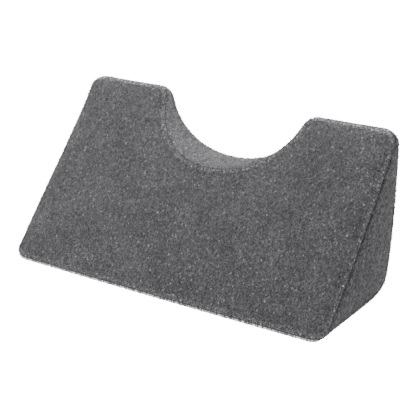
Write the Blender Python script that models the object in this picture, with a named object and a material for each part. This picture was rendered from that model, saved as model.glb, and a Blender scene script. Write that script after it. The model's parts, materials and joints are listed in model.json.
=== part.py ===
"""Cervical traction pillow: a foam wedge in a sewn plush cover, with a round neck notch in its high edge.

Metres, +Z up. The pillow's width runs along X, its sloping face looks to -Y and its base lies on Z = 0.
The cover is drawn tight over the foam, so the pillow is one filled solid. Two panels of one outline,
the sloping face and the upright back, are joined by a belt that makes the base, the two ends, the tops
of the horns and the strip in the notch, with a rolled edge along each seam.
"""

import math

import bmesh
import bpy
import numpy as np

# Driving sizes
WIDTH = 0.330             # across the toe and across the tops of the horns
DEPTH = 0.138             # toe to back, at the fullest
HEIGHT = 0.159
NOTCH_RADIUS = 0.0745     # measured in the plane of the sloping face
NOTCH_LIFT = 0.0066       # the notch's centre lies this far up the face from the horns' top seams

# Rolled edges and rounded corners
EDGE_RADIUS = 0.0032      # along every seam
HEEL_DEPTH = 0.024        # the low edge at the back is rounded off this far forward
HEEL_HEIGHT = 0.019       # and this far up
TOE_CORNER = 0.012        # corners of the face panel at the toe
HEEL_CORNER = 0.006       # low corners of the back panel
SHOULDER_CORNER = 0.015   # outer corners of the horns
HORN_CORNER = 0.015       # inner corners of the horns, beside the notch
TOP_LAND = 0.0015         # between the two rolled edges along the top of a horn

# How far the foam pushes each panel out, and over what distance from a seam it does so
FACE_CROWN = 0.0032
BACK_CROWN = 0.0022
END_CROWN = 0.0026
CROWN_REACH = 0.020
SIDE_BOW = 0.0015         # how far an end bows out at half its height
TOE_BOW = 0.0014          # how far the toe bows forward at the middle
BACK_LEAN = 0.0020        # how far the back comes forward at the top

# Where the middle block of a panel, under the notch, meets the block on each side of it
NOTCH_SPLIT = 42          # degrees below the top edge, on the notch's arc
TOE_SPLIT = 0.050         # from the pillow's middle, along the toe

# Steps along the outline and across the belt
CORNER_STEPS = 3          # half of a rounded corner
TOE_STEPS = 6             # the toe, in a side block
RISE_STEPS = 8            # the line where two blocks meet
CHEEK_STEPS = 5           # the notch's arc, in a side block
SADDLE_STEPS = 7          # the notch's arc, in each half of the middle block
ROLL_STEPS = 4            # over a rolled edge
WALL_STEPS = 6            # between the two rolled edges

BACK_PLANE = DEPTH - BACK_CROWN
TOP_RUN = BACK_PLANE - BACK_LEAN - TOP_LAND - 2 * EDGE_RADIUS
TOP_RISE = HEIGHT - 2 * EDGE_RADIUS
SLOPE = math.atan2(TOP_RISE, TOP_RUN)
SLOPE_LENGTH = math.hypot(TOP_RISE, TOP_RUN)
FACE_NORMAL = np.array([0.0, -math.sin(SLOPE), math.cos(SLOPE)])
BACKWARD = np.array([0.0, 1.0, 0.0])

PLUSH_GREY = (0.115, 0.113, 0.118, 1.0)


def arc(centre, radius, start, end, steps):
    """Points of a circle's arc, both ends included, with its angles in degrees."""
    angles = np.radians(np.linspace(start, end, steps + 1))
    return np.stack([centre[0] + radius * np.cos(angles), centre[1] + radius * np.sin(angles)], axis=1)


def line(start, end, steps):
    """Evenly spaced points of a straight run, both ends included."""
    shares = np.linspace(0.0, 1.0, steps + 1)[:, None]
    return np.array(start) * (1 - shares) + np.array(end) * shares


def chain(*runs):
    """Joins runs end to end, where each starts on the last point of the one before."""
    return np.concatenate([runs[0]] + [run[1:] for run in runs[1:]])


def mirrored(run):
    """The same run on the other half of the pillow, in the other direction."""
    return run[::-1] * np.array([-1.0, 1.0])


def half_outline(low, low_corner):
    """The right half of a panel's outline, drawn along the centres of its rolled edges.

    Points are (distance from the middle, distance up the sloping face). low is how far up the low
    edge lies, and low_corner the radius of its corner. The runs go round anticlockwise."""
    side = WIDTH / 2 - EDGE_RADIUS
    low_radius = low_corner - EDGE_RADIUS
    shoulder = SHOULDER_CORNER - EDGE_RADIUS
    horn = HORN_CORNER - EDGE_RADIUS
    notch = NOTCH_RADIUS + EDGE_RADIUS

    low_centre = (side - low_radius, low + low_radius)
    shoulder_centre = (side - shoulder, SLOPE_LENGTH - shoulder)
    notch_centre = (0.0, SLOPE_LENGTH + NOTCH_LIFT)
    drop = horn + NOTCH_LIFT
    horn_centre = (math.sqrt((notch + horn) ** 2 - drop ** 2), SLOPE_LENGTH - horn)
    touch = math.degrees(math.asin(drop / (notch + horn)))
    horn_middle = 135 - touch / 2

    end_steps = RISE_STEPS + CHEEK_STEPS - CORNER_STEPS
    return {
        "sill": line((0.0, low), (TOE_SPLIT, low), SADDLE_STEPS),
        "toe": chain(line((TOE_SPLIT, low), (low_centre[0], low), TOE_STEPS),
                     arc(low_centre, low_radius, -90, -45, CORNER_STEPS)),
        "end": chain(arc(low_centre, low_radius, -45, 0, CORNER_STEPS),
                     line((side, low_centre[1]), (side, shoulder_centre[1]), end_steps),
                     arc(shoulder_centre, shoulder, 0, 45, CORNER_STEPS)),
        "top": chain(arc(shoulder_centre, shoulder, 45, 90, CORNER_STEPS),
                     line((shoulder_centre[0], SLOPE_LENGTH), (horn_centre[0], SLOPE_LENGTH),
                          TOE_STEPS - CORNER_STEPS),
                     arc(horn_centre, horn, 90, horn_middle, CORNER_STEPS)),
        "cheek": chain(arc(horn_centre, horn, horn_middle, 180 - touch, CORNER_STEPS),
                       arc(notch_centre, notch, -touch, -NOTCH_SPLIT, CHEEK_STEPS)),
        "saddle": arc(notch_centre, notch, -NOTCH_SPLIT, -90, SADDLE_STEPS),
    }


def whole_outline(half):
    """The outline as one closed loop, from the middle of its low edge."""
    right = chain(*half.values())
    return np.concatenate([right, mirrored(right)[1:-1]])


def filled(bottom, top, left, right):
    """A grid of points between four runs: bottom and top go right, left and right go up."""
    across = np.linspace(0.0, 1.0, len(bottom))[None, :, None]
    up = np.linspace(0.0, 1.0, len(left))[:, None, None]
    between_low_and_high = bottom[None] * (1 - up) + top[None] * up
    between_sides = left[:, None] * (1 - across) + right[:, None] * across
    low_corners = bottom[0] * (1 - across) + bottom[-1] * across
    high_corners = top[0] * (1 - across) + top[-1] * across
    return between_low_and_high + between_sides - low_corners * (1 - up) - high_corners * up


def panel_blocks(half):
    """The three grids of points that fill a panel's outline: under the notch, and on each side."""
    parting = line(half["toe"][0], half["saddle"][0], RISE_STEPS)
    middle = filled(chain(mirrored(half["sill"]), half["sill"]),
                    chain(half["saddle"] * np.array([-1.0, 1.0]), half["saddle"][::-1]),
                    parting * np.array([-1.0, 1.0]), parting)
    right = filled(half["toe"], half["top"][::-1], chain(parting, half["cheek"][::-1]), half["end"])
    left = right[:, ::-1] * np.array([-1.0, 1.0])
    return [middle, right, left]


def crown_share(points, loop):
    """The share of its crown that a panel has at each point: none on its outline, all of it inside."""
    along = np.roll(loop, -1, axis=0) - loop
    offset = points[..., None, :] - loop
    place = np.clip((offset * along).sum(-1) / (along ** 2).sum(-1), 0.0, 1.0)
    distance = np.linalg.norm(offset - place[..., None] * along, axis=-1).min(-1)
    return 1.0 - np.exp(-distance / CROWN_REACH)


def on_slope(points):
    """Places (across, up the face) on the line of the sloping face's rolled edge."""
    x, up = points[..., 0], points[..., 1]
    return np.stack([x, EDGE_RADIUS + up * math.cos(SLOPE), EDGE_RADIUS + up * math.sin(SLOPE)], axis=-1)


def on_back(points):
    """Places (across, up the face) on the upright back, which comes forward a little at the top."""
    x = points[..., 0]
    z = EDGE_RADIUS + points[..., 1] * math.sin(SLOPE)
    return np.stack([x, BACK_PLANE - BACK_LEAN * (z / HEIGHT) ** 3, z], axis=-1)


def add_grid(shape, grid, closed=False):
    """Adds the quads of a grid of points. A closed grid joins its last column to its first."""
    rows = [[shape.verts.new(point) for point in row] for row in grid]
    for low, high in zip(rows, rows[1:]):
        if closed:
            low = low + low[:1]
            high = high + high[:1]
        for i in range(len(low) - 1):
            shape.faces.new((low[i], low[i + 1], high[i + 1], high[i]))


def add_panels(shape, front_half, back_half):
    """The sloping face and the upright back, each crowned along its own normal."""
    front_loop = whole_outline(front_half)
    back_loop = whole_outline(back_half)
    for block in panel_blocks(front_half):
        rise = EDGE_RADIUS + FACE_CROWN * crown_share(block, front_loop)
        add_grid(shape, on_slope(block) + rise[..., None] * FACE_NORMAL)
    for block in panel_blocks(back_half):
        rise = BACK_CROWN * crown_share(block, back_loop)
        add_grid(shape, on_back(block) + rise[..., None] * BACKWARD)


def add_belt(shape, front_half, back_half):
    """The rolled edges of both panels, and the wall between them, round the whole outline."""
    front = on_slope(whole_outline(front_half))
    along = np.roll(front, -1, axis=0) - np.roll(front, 1, axis=0)
    outward = np.stack([along[:, 2], np.zeros(len(along)), -along[:, 0]], axis=1)
    outward = outward / np.linalg.norm(outward, axis=1)[:, None]
    sideways, upward = outward[:, :1], outward[:, 2:]

    back_depth = EDGE_RADIUS + (HEEL_DEPTH - EDGE_RADIUS) * np.maximum(-upward, 0.0) ** 2
    back_height = np.where(upward < 0, HEEL_HEIGHT, EDGE_RADIUS)
    back_radii = np.concatenate([np.full_like(back_depth, EDGE_RADIUS), back_depth, back_height], axis=1)
    back = on_back(whole_outline(back_half)) - back_depth * BACKWARD

    is_end = front[:, :1] * sideways > 0
    end_crown = END_CROWN * is_end * sideways ** 2 * np.sin(np.pi * front[:, 2:] / HEIGHT)

    rows = []
    turn = np.arccos(outward @ FACE_NORMAL)[:, None]
    for share in np.linspace(0.0, 1.0, ROLL_STEPS + 1):
        direction = np.sin((1 - share) * turn) * FACE_NORMAL + np.sin(share * turn) * outward
        rows.append(front + EDGE_RADIUS * direction / np.sin(turn))
    wall_start = front + EDGE_RADIUS * outward
    wall_end = back + back_radii * outward
    for share in np.linspace(0.0, 1.0, WALL_STEPS + 1)[1:]:
        kept = np.array([(1 - share) ** 2, 1 - share, (1 - share) ** 2])
        wall = wall_start * kept + wall_end * (1 - kept)
        rows.append(wall + end_crown * math.sin(math.pi * share) * outward)
    for angle in np.linspace(0.0, math.pi / 2, ROLL_STEPS + 1)[1:]:
        rows.append(back + back_radii * (math.cos(angle) * outward + math.sin(angle) * BACKWARD))
    add_grid(shape, rows, closed=True)


def bow(shape):
    """Bows the ends out at half their height, and the toe forward at the middle."""
    for vert in shape.verts:
        height = vert.co.z / HEIGHT
        middle = 1 - min(1.0, abs(2 * vert.co.x / WIDTH)) ** 2
        forward = max(0.0, 1 - vert.co.y / DEPTH) * (1 - height) ** 2
        vert.co.x *= 1 + 8 * SIDE_BOW / WIDTH * height * (1 - height)
        vert.co.y -= TOE_BOW * middle * forward


def plush_material():
    """Grey short-pile plush."""
    material = bpy.data.materials.new("grey_plush")
    material.use_nodes = True
    shader = material.node_tree.nodes["Principled BSDF"]
    shader.inputs["Base Color"].default_value = PLUSH_GREY
    shader.inputs["Roughness"].default_value = 0.95
    shader.inputs["Metallic"].default_value = 0.0
    return material


def build_pillow():
    """The filled pillow, with the middle of its base on the origin."""
    back_low = (HEEL_HEIGHT - EDGE_RADIUS) / math.sin(SLOPE)
    front_half = half_outline(0.0, TOE_CORNER)
    back_half = half_outline(back_low, HEEL_CORNER)

    shape = bmesh.new()
    add_panels(shape, front_half, back_half)
    add_belt(shape, front_half, back_half)
    bmesh.ops.remove_doubles(shape, verts=shape.verts, dist=1e-5)
    bow(shape)
    depths = [vert.co.y for vert in shape.verts]
    bmesh.ops.translate(shape, verts=shape.verts, vec=(0.0, -(min(depths) + max(depths)) / 2, 0.0))
    bmesh.ops.recalc_face_normals(shape, faces=shape.faces)

    mesh = bpy.data.meshes.new("pillow")
    shape.to_mesh(mesh)
    shape.free()
    mesh.shade_smooth()
    mesh.materials.append(plush_material())
    pillow = bpy.data.objects.new("pillow", mesh)
    bpy.context.scene.collection.objects.link(pillow)


for thing in list(bpy.data.objects):
    bpy.data.objects.remove(thing)
build_pillow()
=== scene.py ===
"""Looks of the cervical traction pillow: the plush cover drawn over the foam wedge, its seams and its pile.

Metres, +Z up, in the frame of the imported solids. The cover is one closed skin. It is laid out like the
solid, panel by panel, pressed outwards from inside by Blender's cloth simulation with its seams held,
and then gets the groove and the swollen lips of each seam. Short tufts stand on its edges and seams.
"""

import json
import math

import bmesh
import bpy
import numpy as np
from mathutils import Matrix, Vector
from mathutils.kdtree import KDTree

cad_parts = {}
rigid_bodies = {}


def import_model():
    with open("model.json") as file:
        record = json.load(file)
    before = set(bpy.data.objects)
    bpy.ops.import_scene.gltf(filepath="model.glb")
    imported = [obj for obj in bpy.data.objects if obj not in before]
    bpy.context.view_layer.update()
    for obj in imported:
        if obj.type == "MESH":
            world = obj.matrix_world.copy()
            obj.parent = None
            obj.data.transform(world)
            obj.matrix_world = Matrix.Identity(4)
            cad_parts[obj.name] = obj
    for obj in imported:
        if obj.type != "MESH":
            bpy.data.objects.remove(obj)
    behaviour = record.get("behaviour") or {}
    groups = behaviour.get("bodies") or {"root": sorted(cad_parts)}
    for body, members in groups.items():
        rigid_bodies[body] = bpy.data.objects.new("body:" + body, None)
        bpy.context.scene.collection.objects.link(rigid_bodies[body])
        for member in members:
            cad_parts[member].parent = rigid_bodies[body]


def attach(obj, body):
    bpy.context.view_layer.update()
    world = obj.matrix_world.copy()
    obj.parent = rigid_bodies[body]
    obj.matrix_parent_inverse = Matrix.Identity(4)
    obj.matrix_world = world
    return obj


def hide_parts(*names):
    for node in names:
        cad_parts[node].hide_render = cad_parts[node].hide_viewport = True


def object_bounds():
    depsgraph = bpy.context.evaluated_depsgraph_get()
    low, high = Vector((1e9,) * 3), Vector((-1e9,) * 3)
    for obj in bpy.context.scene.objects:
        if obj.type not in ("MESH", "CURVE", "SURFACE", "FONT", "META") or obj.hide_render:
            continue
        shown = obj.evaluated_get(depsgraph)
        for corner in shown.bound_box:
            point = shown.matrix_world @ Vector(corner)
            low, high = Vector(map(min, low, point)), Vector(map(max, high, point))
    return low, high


for thing in list(bpy.data.objects):
    bpy.data.objects.remove(thing)
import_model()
cad_low, cad_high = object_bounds()

# Sizes of the cover, as the solid has them
WIDTH = 0.330
DEPTH = 0.138
HEIGHT = 0.159
NOTCH_RADIUS = 0.0745
NOTCH_LIFT = 0.0066
EDGE_RADIUS = 0.0032
HEEL_DEPTH = 0.024
HEEL_HEIGHT = 0.019
TOE_CORNER = 0.012
HEEL_CORNER = 0.006
SHOULDER_CORNER = 0.015
HORN_CORNER = 0.015
TOP_LAND = 0.0015
CROWN_REACH = 0.020
SIDE_BOW = 0.0030
TOE_BOW = 0.0014
BACK_LEAN = 0.0020
FACE_CROWN = 0.0032
BACK_CROWN = 0.0022
END_CROWN = 0.0026
NOTCH_SPLIT = 42
TOE_SPLIT = 0.050

# Crown of each panel as the cover is sewn, a share of the solid's; the pressure inside adds the rest
SEWN_SHARE = 0.40
FACE_CROWN_SEWN = FACE_CROWN * SEWN_SHARE
BACK_CROWN_SEWN = BACK_CROWN * SEWN_SHARE
END_CROWN_SEWN = END_CROWN * SEWN_SHARE

# How the pillow in the photo differs from an even one
LEFT_HORN_RISE = 0.0035
LEFT_SHOULDER_PUSH = 0.0016
RIGHT_HORN_DROP = 0.0016
NOTCH_SHIFT = 0.0029
SHOULDER_REACH = 0.012    # how far the sharper shoulder's change reaches
NOTCH_REACH = 0.085       # how far the notch's shift reaches
HORN_FOOT = 0.55          # share of the height above which the horns are uneven
HORN_START = 0.02         # from the middle, where a horn's change of height begins
HORN_BLEND = 0.07         # the width over which that change grows
FRONT_BOW_SHARE = 0.3     # share of the ends' bow that their front edge has
BOW_SKEW = 0.75           # below 1, it puts an end's widest place under its middle

# Steps of the cover's mesh before it is subdivided
CORNER_STEPS = 4
TOE_STEPS = 12
RISE_STEPS = 15
CHEEK_STEPS = 9
SADDLE_STEPS = 12
ROLL_STEPS = 4
WALL_STEPS = 8

# Rows of the belt, counted from the face: the ones that seams are on, and the middle one
TOE_SEAM_ROW = 1
FRONT_SEAM_ROW = 2
END_SEAM_ROW = 4
MIDDLE_ROW = 8
BACK_SEAM_ROW = 14

# Columns below a horn's top where the face's seam has the shoulder's look
SHOULDER_COLUMNS = 6

BACK_PLANE = DEPTH - BACK_CROWN
TOP_RUN = BACK_PLANE - BACK_LEAN - TOP_LAND - 2 * EDGE_RADIUS
TOP_RISE = HEIGHT - 2 * EDGE_RADIUS
SLOPE = math.atan2(TOP_RISE, TOP_RUN)
SLOPE_LENGTH = math.hypot(TOP_RISE, TOP_RUN)
FACE_NORMAL = np.array([0.0, -math.sin(SLOPE), math.cos(SLOPE)])
BACKWARD = np.array([0.0, 1.0, 0.0])

FACE, BACK, BASE, END, STRIP = range(5)

# The pattern of the pile is wider on the end panels, across and up, by one over these shares
END_NAP = (0.45, 0.70)


# outline and panels
def arc(centre, radius, start, end, steps):
    """Points of a circle's arc, both ends included, with its angles in degrees."""
    angles = np.radians(np.linspace(start, end, steps + 1))
    return np.stack([centre[0] + radius * np.cos(angles), centre[1] + radius * np.sin(angles)], axis=1)


def line(start, end, steps):
    """Evenly spaced points of a straight run, both ends included."""
    shares = np.linspace(0.0, 1.0, steps + 1)[:, None]
    return np.array(start) * (1 - shares) + np.array(end) * shares


def chain(*runs):
    """Joins runs end to end, where each starts on the last point of the one before."""
    return np.concatenate([runs[0]] + [run[1:] for run in runs[1:]])


def mirrored(run):
    """The same run on the other half of the pillow, in the other direction."""
    return run[::-1] * np.array([-1.0, 1.0])


def half_outline(low, low_corner):
    """The right half of a panel's outline, along the centres of its rolled edges, run by run."""
    side = WIDTH / 2 - EDGE_RADIUS
    low_radius = low_corner - EDGE_RADIUS
    shoulder = SHOULDER_CORNER - EDGE_RADIUS
    horn = HORN_CORNER - EDGE_RADIUS
    notch = NOTCH_RADIUS + EDGE_RADIUS
    low_centre = (side - low_radius, low + low_radius)
    shoulder_centre = (side - shoulder, SLOPE_LENGTH - shoulder)
    notch_centre = (0.0, SLOPE_LENGTH + NOTCH_LIFT)
    drop = horn + NOTCH_LIFT
    horn_centre = (math.sqrt((notch + horn) ** 2 - drop ** 2), SLOPE_LENGTH - horn)
    touch = math.degrees(math.asin(drop / (notch + horn)))
    horn_middle = 135 - touch / 2
    end_steps = RISE_STEPS + CHEEK_STEPS - CORNER_STEPS
    return {
        "sill": line((0.0, low), (TOE_SPLIT, low), SADDLE_STEPS),
        "toe": chain(line((TOE_SPLIT, low), (low_centre[0], low), TOE_STEPS),
                     arc(low_centre, low_radius, -90, -45, CORNER_STEPS)),
        "end": chain(arc(low_centre, low_radius, -45, 0, CORNER_STEPS),
                     line((side, low_centre[1]), (side, shoulder_centre[1]), end_steps),
                     arc(shoulder_centre, shoulder, 0, 45, CORNER_STEPS)),
        "top": chain(arc(shoulder_centre, shoulder, 45, 90, CORNER_STEPS),
                     line((shoulder_centre[0], SLOPE_LENGTH), (horn_centre[0], SLOPE_LENGTH),
                          TOE_STEPS - CORNER_STEPS),
                     arc(horn_centre, horn, 90, horn_middle, CORNER_STEPS)),
        "cheek": chain(arc(horn_centre, horn, horn_middle, 180 - touch, CORNER_STEPS),
                       arc(notch_centre, notch, -touch, -NOTCH_SPLIT, CHEEK_STEPS)),
        "saddle": arc(notch_centre, notch, -NOTCH_SPLIT, -90, SADDLE_STEPS),
    }


def run_starts(half):
    """The column at which each run of the outline's right half starts."""
    starts = {}
    column = 0
    for name, run in half.items():
        starts[name] = column
        column += len(run) - 1
    starts["middle"] = column
    return starts


def whole_outline(half):
    """The outline as one closed loop, from the middle of its low edge."""
    right = chain(*half.values())
    return np.concatenate([right, mirrored(right)[1:-1]])


def filled(bottom, top, left, right):
    """A grid of points between four runs: bottom and top go right, left and right go up."""
    across = np.linspace(0.0, 1.0, len(bottom))[None, :, None]
    up = np.linspace(0.0, 1.0, len(left))[:, None, None]
    between_low_and_high = bottom[None] * (1 - up) + top[None] * up
    between_sides = left[:, None] * (1 - across) + right[:, None] * across
    low_corners = bottom[0] * (1 - across) + bottom[-1] * across
    high_corners = top[0] * (1 - across) + top[-1] * across
    return between_low_and_high + between_sides - low_corners * (1 - up) - high_corners * up


def panel_blocks(half):
    """The three grids of points that fill a panel's outline: under the notch, and on each side."""
    parting = line(half["toe"][0], half["saddle"][0], RISE_STEPS)
    middle = filled(chain(mirrored(half["sill"]), half["sill"]),
                    chain(half["saddle"] * np.array([-1.0, 1.0]), half["saddle"][::-1]),
                    parting * np.array([-1.0, 1.0]), parting)
    right = filled(half["toe"], half["top"][::-1], chain(parting, half["cheek"][::-1]), half["end"])
    left = right[:, ::-1] * np.array([-1.0, 1.0])
    return [middle, right, left]


def crown_share(points, loop):
    """The share of its crown that a panel has at each point: none on its outline, all of it inside."""
    along = np.roll(loop, -1, axis=0) - loop
    offset = points[..., None, :] - loop
    place = np.clip((offset * along).sum(-1) / (along ** 2).sum(-1), 0.0, 1.0)
    distance = np.linalg.norm(offset - place[..., None] * along, axis=-1).min(-1)
    return 1.0 - np.exp(-distance / CROWN_REACH)


def on_slope(points):
    """Places (across, up the face) on the line of the sloping face's rolled edge."""
    x, up = points[..., 0], points[..., 1]
    return np.stack([x, EDGE_RADIUS + up * math.cos(SLOPE), EDGE_RADIUS + up * math.sin(SLOPE)], axis=-1)


def on_back(points):
    """Places (across, up the face) on the upright back, which comes forward a little at the top."""
    x = points[..., 0]
    z = EDGE_RADIUS + points[..., 1] * math.sin(SLOPE)
    return np.stack([x, BACK_PLANE - BACK_LEAN * (z / HEIGHT) ** 3, z], axis=-1)


def belt_rows(front_half, back_half):
    """The rows of the belt: the face's rolled edge, the wall, then the back's rolled edge."""
    front = on_slope(whole_outline(front_half))
    along = np.roll(front, -1, axis=0) - np.roll(front, 1, axis=0)
    outward = np.stack([along[:, 2], np.zeros(len(along)), -along[:, 0]], axis=1)
    outward = outward / np.linalg.norm(outward, axis=1)[:, None]
    sideways, upward = outward[:, :1], outward[:, 2:]
    back_depth = EDGE_RADIUS + (HEEL_DEPTH - EDGE_RADIUS) * np.maximum(-upward, 0.0) ** 2
    back_height = np.where(upward < 0, HEEL_HEIGHT, EDGE_RADIUS)
    back_radii = np.concatenate([np.full_like(back_depth, EDGE_RADIUS), back_depth, back_height], axis=1)
    back = on_back(whole_outline(back_half)) - back_depth * BACKWARD
    is_end = front[:, :1] * sideways > 0
    end_crown = END_CROWN_SEWN * is_end * sideways ** 2 * np.sin(np.pi * front[:, 2:] / HEIGHT)

    rows = []
    turn = np.arccos(outward @ FACE_NORMAL)[:, None]
    for share in np.linspace(0.0, 1.0, ROLL_STEPS + 1):
        direction = np.sin((1 - share) * turn) * FACE_NORMAL + np.sin(share * turn) * outward
        rows.append(front + EDGE_RADIUS * direction / np.sin(turn))
    wall_start = front + EDGE_RADIUS * outward
    wall_end = back + back_radii * outward
    for share in np.linspace(0.0, 1.0, WALL_STEPS + 1)[1:]:
        kept = np.array([(1 - share) ** 2, 1 - share, (1 - share) ** 2])
        wall = wall_start * kept + wall_end * (1 - kept)
        rows.append(wall + end_crown * math.sin(math.pi * share) * outward)
    for angle in np.linspace(0.0, math.pi / 2, ROLL_STEPS + 1)[1:]:
        rows.append(back + back_radii * (math.cos(angle) * outward + math.sin(angle) * BACKWARD))
    return np.array(rows)


def smooth_step(share):
    """Rises smoothly from 0 to 1 as the share does."""
    share = np.clip(share, 0.0, 1.0)
    return share * share * (3 - 2 * share)


def as_in_photo(points):
    """Bows the ends and the toe, and gives the horns and the notch the photo's unevenness."""
    points = points.copy()
    height = points[:, 2] / HEIGHT
    middle = 1 - np.minimum(1.0, np.abs(2 * points[:, 0] / WIDTH)) ** 2
    forward = np.maximum(0.0, 1 - points[:, 1] / DEPTH) * (1 - height) ** 2
    high = smooth_step((height - HORN_FOOT) / (1 - HORN_FOOT))
    left = smooth_step((-points[:, 0] - HORN_START) / HORN_BLEND)
    right = smooth_step((points[:, 0] - HORN_START) / HORN_BLEND)
    points[:, 2] += (LEFT_HORN_RISE * left - RIGHT_HORN_DROP * right) * high
    points[:, 0] += NOTCH_SHIFT * np.exp(-(points[:, 0] / NOTCH_REACH) ** 4) * high
    corner = np.hypot(points[:, 0] + WIDTH / 2, points[:, 2] - HEIGHT)
    push = LEFT_SHOULDER_PUSH * np.exp(-(corner / SHOULDER_REACH) ** 2)
    points[:, 0] -= push
    points[:, 2] += push
    bow = SIDE_BOW * (FRONT_BOW_SHARE + (1 - FRONT_BOW_SHARE) * np.clip(points[:, 1] / DEPTH, 0.0, 1.0))
    points[:, 0] *= 1 + 2 * bow / WIDTH * np.sin(np.pi * np.clip(height, 0.0, 1.0) ** BOW_SKEW)
    points[:, 1] -= TOE_BOW * middle * forward
    return points


# the sewn cover
def outward_of(loop):
    """The direction out of a panel at each point of its outline."""
    along = np.roll(loop, -1, axis=0) - np.roll(loop, 1, axis=0)
    outward = np.stack([along[:, 1], -along[:, 0]], axis=1)
    return outward / np.linalg.norm(outward, axis=1)[:, None]


def steps_between(rows):
    """How far each point of the belt lies from the first row, measured over the rows between."""
    gaps = np.linalg.norm(np.diff(rows, axis=0), axis=2)
    return np.concatenate([np.zeros((1, rows.shape[1])), np.cumsum(gaps, axis=0)])


def sewn_cover():
    """The cover as it is sewn: points, quads, each quad's panel and places on the cloth, and the seams."""
    front_half = half_outline(0.0, TOE_CORNER)
    back_half = half_outline((HEEL_HEIGHT - EDGE_RADIUS) / math.sin(SLOPE), HEEL_CORNER)
    front_loop = whole_outline(front_half)
    back_loop = whole_outline(back_half)
    grids = []
    for block in panel_blocks(front_half):
        rise = EDGE_RADIUS + FACE_CROWN_SEWN * crown_share(block, front_loop)
        grids.append((FACE, on_slope(block) + rise[..., None] * FACE_NORMAL, block))
    for block in panel_blocks(back_half):
        rise = BACK_CROWN_SEWN * crown_share(block, back_loop)
        grids.append((BACK, on_back(block) + rise[..., None] * BACKWARD, block))
    belt = belt_rows(front_half, back_half)

    points = [grid.reshape(-1, 3) for _, grid, _ in grids] + [belt.reshape(-1, 3)]
    quads, panels, cloth = [], [], []
    first = 0
    for panel, grid, block in grids:
        high, wide = grid.shape[:2]
        for i in range(high - 1):
            for j in range(wide - 1):
                a = first + i * wide + j
                quads.append((a, a + 1, a + wide + 1, a + wide))
                panels.append(panel)
                cloth.append((block[i, j], block[i, j + 1], block[i + 1, j + 1], block[i + 1, j]))
        first += high * wide
    starts = run_starts(front_half)
    columns = belt.shape[1]
    belt_first = first

    def place(row, column):
        return belt_first + row * columns + column % columns

    def stretch(column):
        """The name of the outline's run that the belt's strip after this column lies on."""
        column %= columns
        column = min(column, columns - 1 - column)
        name = [run for run in starts if starts[run] <= column][-1]
        return {"sill": "toe", "cheek": "notch", "saddle": "notch", "middle": "notch"}.get(name, name)

    def belt_panel(row, column):
        name = stretch(column)
        if name == "top":
            return FACE if row < MIDDLE_ROW else BACK
        if row < {"toe": TOE_SEAM_ROW, "end": END_SEAM_ROW}.get(name, FRONT_SEAM_ROW):
            return FACE
        if name == "toe":
            return BASE if row < BACK_SEAM_ROW else BACK
        if row >= BACK_SEAM_ROW:
            return BACK
        return END if name == "end" else STRIP

    front_out = outward_of(front_loop)
    back_out = outward_of(back_loop)
    from_face = steps_between(belt)
    from_back = from_face[-1] - from_face
    run = np.linalg.norm(np.diff(front_loop, axis=0, append=front_loop[:1]), axis=1)
    around = np.concatenate([[0.0], np.cumsum(run)])

    def cloth_place(panel, row, column):
        c = column % columns
        if panel == FACE:
            return front_loop[c] + front_out[c] * from_face[row, c]
        if panel == BACK:
            return back_loop[c] + back_out[c] * from_back[row, c]
        if panel == STRIP:
            return np.array([around[column], belt[row, c, 1]])
        if panel == BASE:
            return belt[row, c, :2]
        return belt[row, c, 1:]

    for row in range(belt.shape[0] - 1):
        for column in range(columns):
            panel = belt_panel(row, column)
            corners = ((row, column), (row, column + 1), (row + 1, column + 1), (row + 1, column))
            quads.append([place(*corner) for corner in corners])
            panels.append(panel)
            cloth.append([cloth_place(panel, *corner) for corner in corners])

    def seam_row(column, edge_row):
        """The row that a seam is on: over a horn's top it leaves the rolled edge for the middle."""
        column = min(column, columns - column)
        if edge_row < MIDDLE_ROW and column < starts["end"]:
            edge_row = TOE_SEAM_ROW
        elif edge_row < MIDDLE_ROW and column < starts["top"]:
            edge_row = min(END_SEAM_ROW, FRONT_SEAM_ROW + column - starts["end"])
        rise = (column - starts["top"] + 1) * 2
        fall = (starts["cheek"] - column + 1) * 2
        reach = max(0, min(rise, fall, abs(MIDDLE_ROW - edge_row)))
        return edge_row + reach if edge_row < MIDDLE_ROW else edge_row - reach

    def seam_look(column):
        """The name in SEAM_GROOVES_AND_PAINTED_LIGHT of the face's seam at this column."""
        column = min(column, columns - column)
        near_shoulder = starts["top"] - SHOULDER_COLUMNS <= column < starts["top"]
        return "shoulder" if near_shoulder else stretch(column)

    toe_corner = starts["end"]
    round_back = range(toe_corner, columns - toe_corner + 1)
    seams = [([place(seam_row(c, FRONT_SEAM_ROW), c) for c in range(columns + 1)],
              [seam_look(c) for c in range(columns + 1)]),
             ([place(seam_row(c, BACK_SEAM_ROW), c) for c in round_back],
              ["back" if stretch(c) == "end" else stretch(c) for c in round_back])]
    for column in (toe_corner, columns - toe_corner):
        rows = range(FRONT_SEAM_ROW, BACK_SEAM_ROW + 1)
        seams.append(([place(row, column) for row in rows], ["base" for _ in rows]))
    points = as_in_photo(np.concatenate(points))
    points[:, 1] += cad_low.y - points[:, 1].min()
    return points, quads, panels, cloth, seams


WELD_DISTANCE = 0.00002
PANEL_SPREAD = (0.7, 0.4)     # between one panel's places on the cloth and the next one's


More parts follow.
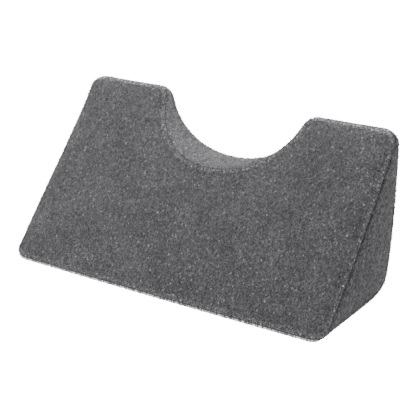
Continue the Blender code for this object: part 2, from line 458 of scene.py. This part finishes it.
def welded(points, quads, panels, cloth, seams):
    """A mesh of the cover with the points that its panels share made one, and the seams to match."""
    keys = np.round(points / WELD_DISTANCE).astype(np.int64)
    lookup, number, kept = {}, np.empty(len(points), int), []
    for i, key in enumerate(map(tuple, keys)):
        near = None
        for dx in (-1, 0, 1):
            for dy in (-1, 0, 1):
                for dz in (-1, 0, 1):
                    near = lookup.get((key[0] + dx, key[1] + dy, key[2] + dz)) if near is None else near
        if near is None:
            near = len(kept)
            lookup[key] = near
            kept.append(i)
        number[i] = near
    mesh = bpy.data.meshes.new("plush_cover")
    mesh.from_pydata(points[kept].tolist(), [], [[int(number[i]) for i in quad] for quad in quads])
    panel = mesh.attributes.new("panel", "INT", "FACE")
    panel.data.foreach_set("value", np.array(panels, np.int32))
    nap = np.where(np.array(panels)[:, None, None] == END, END_NAP, (1.0, 1.0))
    spread = np.array(cloth) * nap + np.array(panels)[:, None, None] * np.array(PANEL_SPREAD)
    layer = mesh.uv_layers.new(name="cloth")
    layer.uv.foreach_set("vector", spread.reshape(-1, 2).astype(np.float32).ravel())
    shape = bmesh.new()
    shape.from_mesh(mesh)
    bmesh.ops.recalc_face_normals(shape, faces=shape.faces)
    shape.to_mesh(mesh)
    shape.free()
    return mesh, [([int(number[i]) for i in seam], names) for seam, names in seams]


def mesh_points(mesh):
    points = np.empty(len(mesh.vertices) * 3, np.float32)
    mesh.vertices.foreach_get("co", points)
    return points.reshape(-1, 3).astype(float)


def mesh_normals(mesh):
    normals = np.empty(len(mesh.vertices) * 3, np.float32)
    mesh.vertex_normals.foreach_get("vector", normals)
    return normals.reshape(-1, 3).astype(float)


def set_points(mesh, points):
    mesh.vertices.foreach_set("co", points.astype(np.float32).ravel())
    mesh.update()


# Settings of the cloth simulation
CLOTH_SETTINGS = {
    "quality": 6,
    "mass": 0.25,
    "tension_stiffness": 18,
    "compression_stiffness": 18,
    "shear_stiffness": 6,
    "bending_stiffness": 0.6,
    "use_pressure": True,
    "uniform_pressure_force": 4.0,
    "vertex_group_mass": "held",
}
LAST_FRAME = 20
RESTING_HEIGHT = 0.0006
MOST_MOVED = 0.0022


def drawn_over_foam(mesh, seams):
    """Presses the cover outwards from inside, with its seams held, and keeps each point's move small."""
    before = mesh_points(mesh)
    work = bpy.data.objects.new("cover_at_work", mesh.copy())
    bpy.context.scene.collection.objects.link(work)
    held = work.vertex_groups.new(name="held")
    held.add(sorted({i for seam, _ in seams for i in seam}), 1.0, "REPLACE")
    resting = [i for i, point in enumerate(before) if point[2] < RESTING_HEIGHT]
    held.add(resting, 1.0, "REPLACE")
    cloth = work.modifiers.new("cloth", "CLOTH")
    for name, value in CLOTH_SETTINGS.items():
        setattr(cloth.settings, name, value)
    cloth.settings.effector_weights.gravity = 0.0
    cloth.collision_settings.use_collision = False
    cloth.collision_settings.use_self_collision = False
    scene = bpy.context.scene
    for number in range(1, LAST_FRAME + 1):
        scene.frame_set(number)
    evaluated = work.evaluated_get(bpy.context.evaluated_depsgraph_get())
    moved = mesh_points(evaluated.to_mesh()) - before
    evaluated.to_mesh_clear()
    bpy.data.objects.remove(work)
    scene.frame_set(1)
    length = np.linalg.norm(moved, axis=1)
    share = MOST_MOVED * np.tanh(length / MOST_MOVED) / np.maximum(length, 1e-9)
    print("cover: largest move %.2f mm, kept %.2f mm" % (length.max() * 1e3, (length * share).max() * 1e3))
    set_points(mesh, before + moved * share[:, None])


def smooth_line(points, step):
    """Points on a smooth curve through the given ones, about a step apart, and how far along each lies."""
    ahead = np.concatenate([points[1:], points[-1:] * 2 - points[-2:-1]])
    two_ahead = np.concatenate([ahead[1:], ahead[-1:]])
    behind = np.concatenate([points[:1] * 2 - points[1:2], points[:-1]])
    made = []
    for a, b, c, d in zip(behind[:-1], points[:-1], ahead[:-1], two_ahead[:-1]):
        count = max(2, int(np.linalg.norm(c - b) / step) + 1)
        t = (np.arange(count) / count)[:, None]
        made.append(0.5 * (2 * b + (c - a) * t + (2 * a - 5 * b + 4 * c - d) * t ** 2
                           + (3 * b - a - 3 * c + d) * t ** 3))
    made = np.concatenate(made + [points[-1:]])
    along = np.concatenate([[0.0], np.cumsum(np.linalg.norm(np.diff(made, axis=0), axis=1))])
    return made, along


def waves(along, lengths, seed):
    """A smooth uneven value, about -1 to 1, of waves of the given lengths."""
    chance = np.random.default_rng(seed)
    total = np.zeros_like(along)
    for length in lengths:
        total += np.sin(2 * np.pi * (along / length + chance.random()))
    return total / math.sqrt(len(lengths) * 2)


SEAM_STEP = 0.0004
SEAM_DEPTH = 0.0011
SEAM_HALF_WIDTH = 0.0008
LIP_RISE = 0.00042
LIP_PLACE = 0.0026
LIP_WIDTH = 0.0016

# Waves along a seam, as their lengths and a seed, and how far they change the groove or the lips
GROOVE_WAVES = ((0.0061, 0.0083, 0.0131, 0.021), 5)
GROOVE_CHANGE = 0.25
LIP_WAVES = ((0.0052, 0.0074, 0.011), 11)
LIP_CHANGE = 0.55

# Each stretch of a seam: how deep it is drawn in, how strong its line of painted shade is, and how pale the
# pile beside it is with painted highlight
SEAM_GROOVES_AND_PAINTED_LIGHT = {
    "toe": (0.25, 0.50, 1.10),
    "end": (0.50, 1.00, 1.20),
    "shoulder": (0.15, 0.15, 1.30),
    "top": (0.30, 0.10, 4.20),
    "notch": (0.12, 0.35, 1.50),
    "back": (0.80, 0.60, 0.20),
    "base": (0.30, 0.25, 1.00),
}


def with_seams(mesh, seams):
    """Sinks each seam, swells its lips, and stores how far each point lies from a seam and its looks, which
    are painted shade along the seam and painted highlight on the pile beside it.
    """
    before = mesh_points(mesh)
    line_points, line_along, line_looks = [], [], []
    for seam, names in seams:
        made, along = smooth_line(before[seam], SEAM_STEP)
        steps = np.linalg.norm(np.diff(before[seam], axis=0), axis=1)
        reached = np.concatenate([[0.0], np.cumsum(steps)]) * along[-1] / steps.sum()
        looks = np.array([SEAM_GROOVES_AND_PAINTED_LIGHT[name] for name in names])
        line_points.append(made)
        line_along.append(along)
        line_looks.append(np.stack([np.interp(along, reached, column) for column in looks.T], axis=1))
    line_points = np.concatenate(line_points)
    tree = KDTree(len(line_points))
    for i, point in enumerate(line_points):
        tree.insert(point, i)
    tree.balance()
    found = [tree.find(point) for point in before]
    nearest = [hit[1] for hit in found]
    distance = np.array([hit[2] for hit in found])
    along = np.concatenate(line_along)[nearest]
    depth, painted_shade, pale = np.concatenate(line_looks)[nearest].T
    uneven = waves(along, *GROOVE_WAVES)
    pucker = waves(along, *LIP_WAVES)
    groove = SEAM_DEPTH * depth * (1 + GROOVE_CHANGE * uneven) * np.exp(-(distance / SEAM_HALF_WIDTH) ** 2)
    lips = LIP_RISE * (1 + LIP_CHANGE * pucker) * np.exp(-((distance - LIP_PLACE) / LIP_WIDTH) ** 2)
    points = before + (lips - groove)[:, None] * mesh_normals(mesh)
    points[:, 2] = np.maximum(points[:, 2], 0.0)
    set_points(mesh, points)
    # Stored for the material: painted shade along each seam, and painted highlight on the pile beside it
    stored = {
        "seam_distance": distance,
        "seam_painted_shade": painted_shade,
        "seam_painted_highlight": pale,
    }
    for name, values in stored.items():
        layer = mesh.attributes.new(name, "FLOAT", "POINT")
        layer.data.foreach_set("value", values.astype(np.float32))


def subdivided(mesh, levels):
    """The mesh after Catmull-Clark steps."""
    work = bpy.data.objects.new("to_subdivide", mesh)
    bpy.context.scene.collection.objects.link(work)
    finer = work.modifiers.new("finer", "SUBSURF")
    finer.levels = levels
    finer.render_levels = levels
    evaluated = work.evaluated_get(bpy.context.evaluated_depsgraph_get())
    result = bpy.data.meshes.new_from_object(evaluated)
    bpy.data.objects.remove(work)
    return result


# materials
PLUSH = (0.126, 0.1225, 0.129)


class Nodes:
    """Short calls for building a node tree."""

    def __init__(self, tree):
        self.tree = tree

    def add(self, kind, inputs=None, **settings):
        node = self.tree.nodes.new(kind)
        for key, value in settings.items():
            setattr(node, key, value)
        for key, value in (inputs or {}).items():
            self.feed(node.inputs[key], value)
        return node

    def feed(self, socket, value):
        if isinstance(value, bpy.types.NodeSocket):
            self.tree.links.new(value, socket)
        else:
            socket.default_value = value


class MaterialNodes(Nodes):
    """Short calls for building a material's node tree."""

    def __init__(self, name):
        self.material = bpy.data.materials.new(name)
        self.material.use_nodes = True
        super().__init__(self.material.node_tree)

    def coat(self, inputs):
        """Gives the material's shader its inputs."""
        shader = self.tree.nodes["Principled BSDF"]
        for key, value in inputs.items():
            self.feed(shader.inputs[key], value)

    def math(self, operation, a, b=0.0, c=0.0):
        return self.add("ShaderNodeMath", {0: a, 1: b, 2: c}, operation=operation).outputs[0]

    def between(self, value, low, high, to_low=0.0, to_high=1.0):
        node = self.add("ShaderNodeMapRange", {0: value, 1: low, 2: high, 3: to_low, 4: to_high},
                        interpolation_type="SMOOTHSTEP")
        return node.outputs[0]

    def noise(self, at, scale, detail, roughness):
        node = self.add("ShaderNodeTexNoise", {"Vector": at, "Scale": scale, "Detail": detail,
                                               "Roughness": roughness})
        return node.outputs["Fac"]

    def plush(self, value):
        """The plush's colour, made lighter or darker by the value."""
        channels = {i: self.math("MULTIPLY", value, part) for i, part in enumerate(PLUSH)}
        return self.add("ShaderNodeCombineColor", channels).outputs[0]

    def attribute(self, name):
        return self.add("ShaderNodeAttribute", attribute_name=name, attribute_type="GEOMETRY").outputs["Fac"]


# Each noise of the pile: its repeats to the metre, detail and roughness, then the part of its range
# that counts, then how far it changes the tone either way
NOISES = {
    "cloud": ((24.0, 2.0, 0.50), (0.30, 0.70), 0.10),
    "patch": ((85.0, 3.0, 0.55), (0.30, 0.70), 0.08),
    "mottle": ((260.0, 2.0, 0.50), (0.30, 0.70), 0.12),
    "grain": ((780.0, 3.0, 0.65), (0.36, 0.64), 0.24),
}

# Tufts, repeats to the metre, and how far each changes the tone
TUFTS_TO_THE_METRE = 960.0
TUFT_CHANGE = 0.38

# Streaks and pits, which show most on the end panels
STREAKS_TO_THE_METRE = (420.0, 45.0, 1.0)
STREAK_CHANGE = 0.20
PITS = (0.0019, 0.1, 7.7, 0.45)
PIT_DARK = 0.9

# Each kind of stray pale tip: how far apart, the share of places left empty, a seed and its brightness
STRAY_TIPS = ((0.0040, 0.45, 0.0, 1.1), (0.0026, 0.50, 3.1, 0.7))

# Distances from a seam over which its line of painted shade ends, and over which the painted highlight on
# the pile beside it ends
SHADE_LINE_EDGE = (0.0002, 0.0009)
HIGHLIGHT_EDGE = (0.0034, 0.0056)
SHADE_LINE_BREAKS = (330.0, 2.0, 0.6)
HIGHLIGHT_FLECKS = (640.0, 2.0, 0.6)
SEAM_PAINTED_SHADE = 0.85

# Rows of pale dots: between dots, between rows, how fast a row climbs, a dot's width and height, where in
# its place a dot may be, and its brightness
DOT_PITCH = 0.0117
DOT_ROW = 0.0103
DOT_DRIFT = 0.17
DOT_WIDTH = 0.00055
DOT_HEIGHT = 0.00095
DOT_RANGE = (0.38, 0.62)
DOT_BRIGHT = 2.0


def pin_dots(n, across, up):
    """Pale tips in offset rows, some of them missing, each a little longer than wide."""
    drifted = n.math("MULTIPLY_ADD", across, DOT_DRIFT, up)
    row_place = n.math("DIVIDE", drifted, DOT_ROW)
    row = n.math("FLOOR", row_place)
    odd = n.math("MULTIPLY", n.math("FLOORED_MODULO", row, 2.0), 0.5)
    dot_place = n.math("ADD", n.math("DIVIDE", across, DOT_PITCH), odd)
    dot = n.math("FLOOR", dot_place)
    key = n.add("ShaderNodeCombineXYZ", {0: dot, 1: row}).outputs[0]
    chance = n.add("ShaderNodeTexWhiteNoise", {"Vector": key}, noise_dimensions="2D")
    nudge = n.add("ShaderNodeSeparateColor", {0: chance.outputs["Color"]})
    off_x = n.math("SUBTRACT", n.math("SUBTRACT", dot_place, dot),
                   n.between(nudge.outputs[0], 0.0, 1.0, *DOT_RANGE))
    off_y = n.math("SUBTRACT", n.math("SUBTRACT", row_place, row),
                   n.between(nudge.outputs[1], 0.0, 1.0, *DOT_RANGE))
    wide = n.math("MULTIPLY", off_x, DOT_PITCH / DOT_WIDTH)
    tall = n.math("MULTIPLY", off_y, DOT_ROW / DOT_HEIGHT)
    square = n.math("ADD", n.math("MULTIPLY", wide, wide), n.math("MULTIPLY", tall, tall))
    seen = n.between(nudge.outputs[2], 0.15, 0.8)
    return n.math("MULTIPLY", n.between(square, 0.3, 1.7, 1.0, 0.0), seen)


def spots(n, cloth, size, empty, seed, reach=0.22):
    """Spots scattered over the pile, about size apart; empty is the share of places left without one."""
    moved = n.add("ShaderNodeMapping", {"Vector": cloth, "Location": (seed, seed, 0.0),
                                        "Scale": (1.0, 0.6, 1.0)}).outputs[0]
    cells = n.add("ShaderNodeTexVoronoi", {"Vector": moved, "Scale": 1.0 / size}, voronoi_dimensions="2D")
    pick = n.add("ShaderNodeSeparateColor", {0: cells.outputs["Color"]}).outputs[0]
    return n.math("MULTIPLY", n.between(cells.outputs["Distance"], 0.07, reach, 1.0, 0.0),
                  n.between(pick, empty, 1.0))


def plush_material():
    """Charcoal short-pile plush: a cloudy nap, a coarse grain, pits, pale tips, seam lines darkened with
    painted shade, painted highlight on the pile beside them, and each panel's tone, which is painted light.
    """
    n = MaterialNodes("plush_pile")
    cloth = n.add("ShaderNodeUVMap", uv_map="cloth").outputs[0]
    axes = n.add("ShaderNodeSeparateXYZ", {0: cloth})
    across, up = axes.outputs[0], axes.outputs[1]
    pitting = n.attribute("pitting")
    speckle = n.attribute("speckle")
    near = n.attribute("seam_distance")
    painted_shade = n.attribute("seam_painted_shade")
    pale = n.attribute("seam_painted_highlight")

    noises = {name: n.noise(cloth, *kind) for name, (kind, _, _) in NOISES.items()}
    # Each panel's tone is painted light: it makes a panel lighter or darker by how light falls on it
    value = n.attribute("tone")
    for name, (_, part, change) in NOISES.items():
        value = n.math("MULTIPLY", value, n.between(noises[name], *part, 1 - change, 1 + change))
    tuft = n.add("ShaderNodeTexVoronoi", {"Vector": cloth, "Scale": TUFTS_TO_THE_METRE},
                 voronoi_dimensions="2D")
    tuft_tone = n.add("ShaderNodeSeparateColor", {0: tuft.outputs["Color"]}).outputs[1]
    value = n.math("MULTIPLY", value, n.between(tuft_tone, 0.0, 1.0, 1 - TUFT_CHANGE, 1 + TUFT_CHANGE))
    pits = n.math("MULTIPLY", spots(n, cloth, *PITS), pitting)
    value = n.math("MULTIPLY", value, n.math("MULTIPLY_ADD", pits, -PIT_DARK, 1.0))
    streak_place = n.add("ShaderNodeMapping", {"Vector": cloth, "Scale": STREAKS_TO_THE_METRE}).outputs[0]
    streak = n.between(n.noise(streak_place, 1.0, 2.0, 0.5), 0.3, 0.7, -STREAK_CHANGE, STREAK_CHANGE)
    value = n.math("MULTIPLY", value, n.math("ADD", n.math("MULTIPLY", streak, pitting), 1.0))

    tips = n.math("MULTIPLY", pin_dots(n, across, up), DOT_BRIGHT)
    for size, empty, seed, bright in STRAY_TIPS:
        tips = n.math("ADD", tips, n.math("MULTIPLY", spots(n, cloth, size, empty, seed), bright))
    value = n.math("MULTIPLY", value, n.math("MULTIPLY_ADD", tips, speckle, 1.0))

    # Painted shade: a darker line along each seam, broken up by noise
    broken = n.noise(cloth, *SHADE_LINE_BREAKS)
    highlight_flecks = n.noise(cloth, *HIGHLIGHT_FLECKS)
    sewn = n.math("MULTIPLY", n.between(near, *SHADE_LINE_EDGE, 1.0, 0.0), painted_shade)
    sewn = n.math("MULTIPLY", sewn, n.between(broken, 0.36, 0.60, painted_shade, 1.0))
    value = n.math("MULTIPLY", value, n.math("MULTIPLY_ADD", sewn, -SEAM_PAINTED_SHADE, 1.0))
    # Painted highlight: the pile beside each seam made paler, broken up by noise
    painted_lip_highlight = n.math("MULTIPLY", n.between(near, *SHADE_LINE_EDGE), n.between(near, *HIGHLIGHT_EDGE, 1.0, 0.0))
    painted_lip_highlight = n.math("MULTIPLY", n.math("MULTIPLY", painted_lip_highlight, pale), n.attribute("painted_rim_highlight"))
    painted_lip_highlight = n.math("MULTIPLY", painted_lip_highlight, n.between(highlight_flecks, 0.45, 0.60, 0.15, 2.0))
    value = n.math("MULTIPLY", value, n.math("ADD", painted_lip_highlight, 1.0))

    mound = n.between(tuft.outputs["Distance"], 0.0, 0.7, 1.0, 0.0)
    relief = n.math("ADD", n.math("MULTIPLY", noises["grain"], 0.5), n.math("MULTIPLY", mound, 0.5))
    bump = n.add("ShaderNodeBump", {"Strength": 0.6, "Distance": 0.0010, "Height": relief}).outputs[0]
    n.coat({"Base Color": n.plush(value), "Roughness": 0.95, "Specular IOR Level": 0.15,
            "Sheen Weight": 0.12, "Sheen Roughness": 0.5, "Normal": bump})
    return n.material


# Each panel's pile: its tone, which is painted light that makes a panel lighter or darker by how light falls
# on it, how pitted it is, how its pale tips show, and how pale it is beside a seam, which is a painted
# highlight
PANEL_PILE_AND_PAINTED_LIGHT = {
    FACE: (1.00, 0.25, 1.0, 0.5),
    BACK: (0.97, 0.35, 1.0, 0.8),
    BASE: (1.10, 0.50, 0.5, 4.2),
    END: (0.80, 1.00, 0.35, 0.05),
    STRIP: (1.32, 0.80, 0.35, 0.25),
}


COVER_LEVELS = 2


def build_cover():
    mesh, seams = welded(*sewn_cover())
    drawn_over_foam(mesh, seams)
    fine = subdivided(mesh, COVER_LEVELS)
    with_seams(fine, seams)
    # Per panel: tone, which is painted light, pitting, speckle, and the strength of the painted highlight
    # beside the seams
    panel = np.empty(len(fine.polygons), np.int32)
    fine.attributes["panel"].data.foreach_get("value", panel)
    looks = np.array([PANEL_PILE_AND_PAINTED_LIGHT[i] for i in range(len(PANEL_PILE_AND_PAINTED_LIGHT))], np.float32)[panel]
    for number, name in enumerate(("tone", "pitting", "speckle", "painted_rim_highlight")):
        layer = fine.attributes.new(name, "FLOAT", "FACE")
        layer.data.foreach_set("value", np.ascontiguousarray(looks[:, number]))
    fine.attributes.remove(fine.attributes["panel"])
    fine.name = "plush_cover"
    fine.shade_smooth()
    fine.materials.append(plush_material())
    cover = bpy.data.objects.new("plush_cover", fine)
    bpy.context.scene.collection.objects.link(cover)
    return cover


# standing pile
TUFT_DENSITY = 900000.0      # tufts to the square metre, at the most
TUFT_HEIGHT = 0.0015
TUFT_RADIUS = 0.00023
TUFT_SINK = 0.0002
TUFT_LEAN = 0.55
TUFT_SIZES = (0.55, 1.35)
TUFT_SEED = 7
SHADE_SEED = 3
TUFT_LOWEST = 0.0046         # none stand below this height
OPEN_PILE = 0.16             # share of the density on a panel, away from its seams
EDGE_PILE_REACH = 0.0042
EDGE_PILE_FULL = 0.4         # share of that reach with all of the density
TUFT_FACES = 4               # three sides and a base
TIP_TONES = (0.8, 1.6)
PALE_TIPS_FROM = 0.86        # shade above which a tuft is paler still
PALE_TIPS_MORE = 1.6


def tuft_tree(material):
    """Geometry nodes that stand short tufts on a surface, thickest where its pile_share is highest."""
    tree = bpy.data.node_groups.new("standing_pile", "GeometryNodeTree")
    sockets = tree.interface
    sockets.new_socket("Geometry", in_out="INPUT", socket_type="NodeSocketGeometry")
    for name, value in (("Density", TUFT_DENSITY), ("Height", TUFT_HEIGHT), ("Radius", TUFT_RADIUS),
                        ("Lean", TUFT_LEAN)):
        sockets.new_socket(name, in_out="INPUT", socket_type="NodeSocketFloat").default_value = value
    sockets.new_socket("Seed", in_out="INPUT", socket_type="NodeSocketInt").default_value = TUFT_SEED
    sockets.new_socket("Geometry", in_out="OUTPUT", socket_type="NodeSocketGeometry")

    add = Nodes(tree).add
    given = add("NodeGroupInput").outputs
    share = add("GeometryNodeInputNamedAttribute", {"Name": "pile_share"}).outputs["Attribute"]
    density = add("ShaderNodeMath", {0: share, 1: given["Density"]}, operation="MULTIPLY").outputs[0]
    spread = add("GeometryNodeDistributePointsOnFaces",
                 {"Mesh": given["Geometry"], "Density": density, "Seed": given["Seed"]})
    tall = add("GeometryNodeMeshCone", {"Vertices": 3, "Side Segments": 1, "Radius Top": 0.0,
                                        "Radius Bottom": given["Radius"], "Depth": given["Height"]},
               fill_type="NGON").outputs["Mesh"]
    sunk = add("GeometryNodeTransform", {"Geometry": tall, "Translation": (0.0, 0.0, -TUFT_SINK)}).outputs[0]
    back_lean = add("ShaderNodeMath", {0: given["Lean"], 1: -1.0}, operation="MULTIPLY").outputs[0]
    low = add("ShaderNodeCombineXYZ", {0: back_lean, 1: back_lean, 2: 0.0}).outputs[0]
    high = add("ShaderNodeCombineXYZ", {0: given["Lean"], 1: given["Lean"], 2: math.tau}).outputs[0]
    lean = add("FunctionNodeRandomValue", {0: low, 1: high, "Seed": given["Seed"]},
               data_type="FLOAT_VECTOR").outputs[0]
    turned = add("FunctionNodeRotateRotation", {"Rotation": spread.outputs["Rotation"], "Rotate By": lean},
                 rotation_space="LOCAL").outputs[0]
    sizes = add("FunctionNodeRandomValue", {2: TUFT_SIZES[0], 3: TUFT_SIZES[1], "Seed": given["Seed"]},
                data_type="FLOAT")
    shades = add("FunctionNodeRandomValue", {2: 0.0, 3: 1.0, "Seed": SHADE_SEED}, data_type="FLOAT")
    shaded = add("GeometryNodeStoreNamedAttribute",
                 {"Geometry": spread.outputs["Points"], "Name": "shade", "Value": shades.outputs[1]},
                 data_type="FLOAT", domain="POINT").outputs[0]
    stood = add("GeometryNodeInstanceOnPoints", {"Points": shaded, "Instance": sunk, "Rotation": turned,
                                                 "Scale": sizes.outputs[1]}).outputs[0]
    plain = add("GeometryNodeRealizeInstances", {"Geometry": stood}).outputs[0]
    coated = add("GeometryNodeSetMaterial", {"Geometry": plain, "Material": material}).outputs[0]
    add("NodeGroupOutput", {"Geometry": coated})
    return tree


def tip_material():
    """The standing tips of the pile: each tuft has a tone of its own, and a few are pale."""
    n = MaterialNodes("plush_tips")
    shade = n.attribute("shade")
    value = n.math("ADD", n.between(shade, 0.0, 1.0, *TIP_TONES),
                   n.between(shade, PALE_TIPS_FROM, 1.0, 0.0, PALE_TIPS_MORE))
    n.coat({"Base Color": n.plush(value), "Roughness": 0.95, "Specular IOR Level": 0.1})
    return n.material


def build_pile(cover):
    """Short tufts on the cover: close together on its edges and beside its seams, few on its panels."""
    ground = cover.data.copy()
    distance = np.empty(len(ground.vertices), np.float32)
    ground.attributes["seam_distance"].data.foreach_get("value", distance)
    points = mesh_points(ground)
    near_seam = np.clip(1 + EDGE_PILE_FULL - distance / EDGE_PILE_REACH, 0.0, 1.0)
    share = OPEN_PILE + (1 - OPEN_PILE) * near_seam
    share[points[:, 2] < TUFT_LOWEST] = 0.0
    layer = ground.attributes.new("pile_share", "FLOAT", "POINT")
    layer.data.foreach_set("value", share.astype(np.float32))
    work = bpy.data.objects.new("pile_at_work", ground)
    bpy.context.scene.collection.objects.link(work)
    modifier = work.modifiers.new("pile", "NODES")
    modifier.node_group = tuft_tree(tip_material())
    sizes = {"Density": TUFT_DENSITY, "Height": TUFT_HEIGHT, "Radius": TUFT_RADIUS, "Lean": TUFT_LEAN,
             "Seed": TUFT_SEED}
    for socket in modifier.node_group.interface.items_tree:
        if socket.in_out == "INPUT" and socket.name in sizes:
            modifier[socket.identifier] = sizes[socket.name]
    evaluated = work.evaluated_get(bpy.context.evaluated_depsgraph_get())
    made = bpy.data.meshes.new_from_object(evaluated)
    work.modifiers.remove(modifier)
    bpy.data.objects.remove(work)
    made.name = "plush_tips"
    print("pile: %d tufts" % (len(made.polygons) // TUFT_FACES))
    pile = bpy.data.objects.new("plush_tips", made)
    bpy.context.scene.collection.objects.link(pile)
    return pile


# floor, lamps and camera
def floor_material():
    n = MaterialNodes("pale_floor")
    seen = n.add("ShaderNodeLightPath").outputs["Is Camera Ray"]
    n.coat({"Base Color": (0.40, 0.40, 0.40, 1.0), "Roughness": 1.0, "Specular IOR Level": 0.0,
            "Emission Color": (1.0, 1.0, 1.0, 1.0),
            "Emission Strength": n.between(seen, 0.0, 1.0, FLOOR_BOUNCE, FLOOR_GLOW)})
    return n.material


FLOOR_WIDTH = 8.0
FLOOR_GLOW = 18.0
FLOOR_BOUNCE = 1.0
SKY_GLOW = 18.0
SKY_LIGHT = 0.24

# Each lamp: its place, the point it looks at, its width and its power
LAMPS = {
    "softbox": ((-0.50, -0.30, 0.75), (-0.06, 0.0, 0.09), 0.45, 4.6),
    "overhead": ((0.15, 0.20, 1.00), (0.0, 0.0, 0.10), 0.70, 5.2),
    "from_behind": ((0.10, 0.85, 0.85), (0.0, 0.0, 0.12), 0.60, 13.0),
}


def build_stage():
    mesh = bpy.data.meshes.new("floor")
    half = FLOOR_WIDTH / 2
    corners = [(-half, -half, 0), (half, -half, 0), (half, half, 0), (-half, half, 0)]
    mesh.from_pydata(corners, [], [(0, 1, 2, 3)])
    mesh.materials.append(floor_material())
    floor = bpy.data.objects.new("floor", mesh)
    bpy.context.scene.collection.objects.link(floor)

    world = bpy.data.worlds.new("studio")
    world.use_nodes = True
    n = Nodes(world.node_tree)
    sky = n.tree.nodes["Background"]
    seen = n.add("ShaderNodeLightPath").outputs["Is Camera Ray"]
    strength = n.add("ShaderNodeMapRange", {"Value": seen, "To Min": SKY_LIGHT, "To Max": SKY_GLOW})
    n.feed(sky.inputs["Strength"], strength.outputs[0])
    n.feed(sky.inputs["Color"], (1.0, 1.0, 1.0, 1.0))
    bpy.context.scene.world = world

    for name, (place, aim, size, power) in LAMPS.items():
        data = bpy.data.lights.new(name, "AREA")
        data.energy = power
        data.size = size
        lamp = bpy.data.objects.new(name, data)
        lamp.location = place
        lamp.rotation_euler = (Vector(aim) - Vector(place)).to_track_quat("-Z", "Y").to_euler()
        bpy.context.scene.collection.objects.link(lamp)


CAMERA_PLACE = Vector((0.45498, -0.75763, 0.35377))
CAMERA_AZIMUTH = math.radians(30.368)
CAMERA_HEIGHT = math.radians(17.904)
CAMERA_ROLL = math.radians(2.837)
FOCAL_PIXELS = 996.5
PHOTO_PIXELS = 416.0
SENSOR_WIDTH = 36.0


def build_camera():
    back = Vector((math.sin(CAMERA_AZIMUTH) * math.cos(CAMERA_HEIGHT),
                   -math.cos(CAMERA_AZIMUTH) * math.cos(CAMERA_HEIGHT), math.sin(CAMERA_HEIGHT)))
    side = Vector((0, 0, 1)).cross(back).normalized()
    rise = back.cross(side)
    turned_side = math.cos(CAMERA_ROLL) * side + math.sin(CAMERA_ROLL) * rise
    turned_rise = -math.sin(CAMERA_ROLL) * side + math.cos(CAMERA_ROLL) * rise
    data = bpy.data.cameras.new("camera")
    data.lens = FOCAL_PIXELS * SENSOR_WIDTH / PHOTO_PIXELS
    data.sensor_width = SENSOR_WIDTH
    data.dof.use_dof = False
    data.clip_start = 0.01
    data.clip_end = 50.0
    camera = bpy.data.objects.new("camera", data)
    turned = Matrix((turned_side, turned_rise, back)).transposed().to_4x4()
    turned.translation = CAMERA_PLACE
    camera.matrix_world = turned
    bpy.context.scene.collection.objects.link(camera)
    bpy.context.scene.camera = camera


cover = build_cover()
pile = build_pile(cover)
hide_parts("pillow")
for piece in (cover, pile):
    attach(piece, "root")
build_stage()
build_camera()
